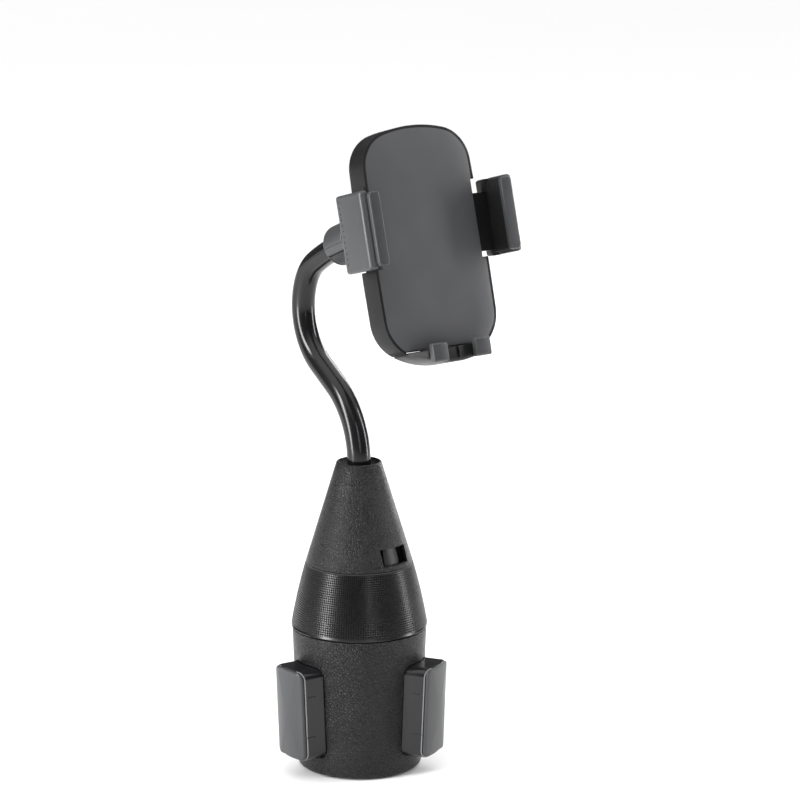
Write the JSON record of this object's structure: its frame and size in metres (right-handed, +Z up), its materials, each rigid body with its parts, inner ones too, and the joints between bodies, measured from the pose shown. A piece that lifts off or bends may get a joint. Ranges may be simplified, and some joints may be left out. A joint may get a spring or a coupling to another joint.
{
  "type": "car phone mount",
  "caption": "Cup-holder phone mount: barrel base with expanding feet, bendable neck, ball joint and a clamping phone cradle.",
  "frame": {"origin": "middle of the underside of the base", "axes": "+Z up; the cradle faces -Y; +X is to the right of someone facing the screen"},
  "size_m": [0.085, 0.1348, 0.3128],
  "materials": {
    "grained_plastic": "leather-grained black",
    "knurled_plastic": "fine square knurl, black",
    "satin_grey": "satin dark grey",
    "gloss_black": "gloss black",
    "matte_black": "matte black",
    "black_rubber": "soft rubber",
    "sheath": "smooth glossy sheath",
    "inner_plastic": "plain dark moulding",
    "acetal": "natural white",
    "zinc_steel": "zinc plated",
    "spring_steel": "bright wire"
  },
  "bodies": {
    "base": {"base_barrel": "grained_plastic", "bottom_cover": "grained_plastic", "rubber_base_pad": "black_rubber", "base_screws": "zinc_steel", "guide_plate": "inner_plastic", "guide_screws": "zinc_steel", "spindle": "zinc_steel", "thrust_washer": "zinc_steel", "stem_bolt": "zinc_steel", "neck_column": "inner_plastic", "cone_shell": "grained_plastic", "neck_ferrule": "zinc_steel", "neck_sheath_1": "sheath", "neck_core_1": "zinc_steel"},
    "knob": {"grip_ring": "knurled_plastic", "cam_plate": "acetal", "knob_screws": "zinc_steel", "indicator_sleeve": "inner_plastic"},
    "foot_a": {"foot_housing_1": "gloss_black", "foot_pad_1": "satin_grey"},
    "foot_b": {"foot_housing_2": "gloss_black", "foot_pad_2": "satin_grey"},
    "foot_c": {"foot_housing_3": "gloss_black", "foot_pad_3": "satin_grey"},
    "neck_low": {"neck_sheath_2": "sheath", "neck_core_2": "zinc_steel"},
    "neck_mid": {"neck_sheath_3": "sheath", "neck_core_3": "zinc_steel"},
    "neck_top": {"neck_sheath_4": "sheath", "neck_core_4": "zinc_steel", "neck_end_collar": "satin_grey", "collar_grips": "satin_grey", "neck_clamp_nut": "matte_black", "ball_stud": "zinc_steel"},
    "ball_pan": {"ball_seat_rear": "acetal"},
    "ball_tilt": {"ball_seat_front": "acetal"},
    "cradle": {"ball_socket": "inner_plastic", "ball_retainer": "inner_plastic", "socket_screws": "zinc_steel", "back_shell": "inner_plastic", "face_plate": "satin_grey", "cradle_screws": "zinc_steel", "arm_spring": "spring_steel", "release_spring": "spring_steel", "pawl_pin": "zinc_steel"},
    "lock_nut": {"ball_lock_nut": "matte_black"},
    "pinion": {"arm_pinion": "acetal"},
    "arm_left": {"arm_slide_left": "matte_black", "arm_cover_left": "satin_grey", "arm_lining_left": "black_rubber", "arm_screws_left": "zinc_steel"},
    "arm_right": {"arm_slide_right": "matte_black", "arm_cover_right": "satin_grey", "arm_lining_right": "black_rubber", "arm_screws_right": "zinc_steel"},
    "button": {"release_button": "satin_grey"},
    "pawl": {"lock_pawl": "acetal"},
    "tray": {"bottom_tray": "matte_black", "tray_rubber": "black_rubber"}
  },
  "joints": [
    {"name": "knob_turn", "type": "hinge", "parent": "base", "child": "knob", "pos_m": [0, 0, 0.0838], "axis": [0, 0, 1], "range_deg": [-77, 28]},
    {"name": "foot_a_slide", "type": "slide", "parent": "base", "child": "foot_a", "axis": [-1, 0, 0], "range_m": [-0.0111, 0.0041]},
    {"name": "foot_b_slide", "type": "slide", "parent": "base", "child": "foot_b", "axis": [0.5, -0.866, 0], "range_m": [-0.0111, 0.0041]},
    {"name": "foot_c_slide", "type": "slide", "parent": "base", "child": "foot_c", "axis": [0.5, 0.866, 0], "range_m": [-0.0111, 0.0041]},
    {"name": "neck_bend_low", "type": "hinge", "parent": "base", "child": "neck_low", "pos_m": [0, 0.00405, 0.16503], "axis": [1, 0, 0], "range_deg": [-25, 25]},
    {"name": "neck_lean_side", "type": "hinge", "parent": "neck_low", "child": "neck_mid", "pos_m": [0, 0.02516, 0.1854], "axis": [0, 0.5299, -0.848], "range_deg": [-25, 25]},
    {"name": "neck_bend_high", "type": "hinge", "parent": "neck_mid", "child": "neck_top", "pos_m": [0, 0.0461, 0.21566], "axis": [1, 0, 0], "range_deg": [-25, 25]},
    {"name": "ball_pan", "type": "hinge", "parent": "neck_top", "child": "ball_pan", "pos_m": [0, -0.02293, 0.26493], "axis": [0, 0.2672, 0.9636], "range_deg": [-15, 15]},
    {"name": "ball_tilt", "type": "hinge", "parent": "ball_pan", "child": "ball_tilt", "pos_m": [0, -0.02293, 0.26493], "axis": [1, 0, 0], "range_deg": [-20, 12]},
    {"name": "cradle_roll", "type": "hinge", "parent": "ball_tilt", "child": "cradle", "pos_m": [0, -0.02293, 0.26493], "axis": [0, -0.9636, 0.2672], "continuous": true},
    {"name": "lock_nut_turn", "type": "hinge", "parent": "cradle", "child": "lock_nut", "pos_m": [0, -0.02293, 0.26493], "axis": [0, -0.9636, 0.2672], "range_deg": [0, 90]},
    {"name": "arm_left_slide", "type": "slide", "parent": "cradle", "child": "arm_left", "axis": [-1, 0, 0], "range_m": [-0.0034, 0.012], "deforming": ["arm_spring"]},
    {"name": "arm_right_slide", "type": "slide", "parent": "cradle", "child": "arm_right", "axis": [1, 0, 0], "range_m": [-0.0035, 0.0121], "deforming": ["arm_spring"]},
    {"name": "pinion_spin", "type": "hinge", "parent": "cradle", "child": "pinion", "pos_m": [0, -0.05199, 0.26645], "axis": [0, -0.9636, 0.2672], "range_deg": [-140, 45]},
    {"name": "release_press", "type": "slide", "parent": "cradle", "child": "button", "axis": [0, -0.9636, 0.2672], "range_m": [0, 0.0015], "stiffness_N_per_m": 600, "springref_m": -0.001, "deforming": ["release_spring"]},
    {"name": "pawl_tip", "type": "hinge", "parent": "cradle", "child": "pawl", "pos_m": [0, -0.05253, 0.24502], "axis": [-1, 0, 0], "range_deg": [0, 8.5]},
    {"name": "tray_slide", "type": "slide", "parent": "cradle", "child": "tray", "axis": [0, -0.2672, -0.9636], "range_m": [0, 0.012]}
  ],
  "couplings": [
    {"joint": "foot_a_slide", "follows": "knob_turn", "m_per_rad": 0.0081851},
    {"joint": "foot_b_slide", "follows": "knob_turn", "m_per_rad": 0.0081851},
    {"joint": "foot_c_slide", "follows": "knob_turn", "m_per_rad": 0.0081851},
    {"joint": "arm_right_slide", "follows": "arm_left_slide", "ratio": 1},
    {"joint": "pinion_spin", "follows": "arm_left_slide", "rad_per_m": -200},
    {"joint": "pawl_tip", "follows": "release_press", "rad_per_m": 93.084}
  ]
}
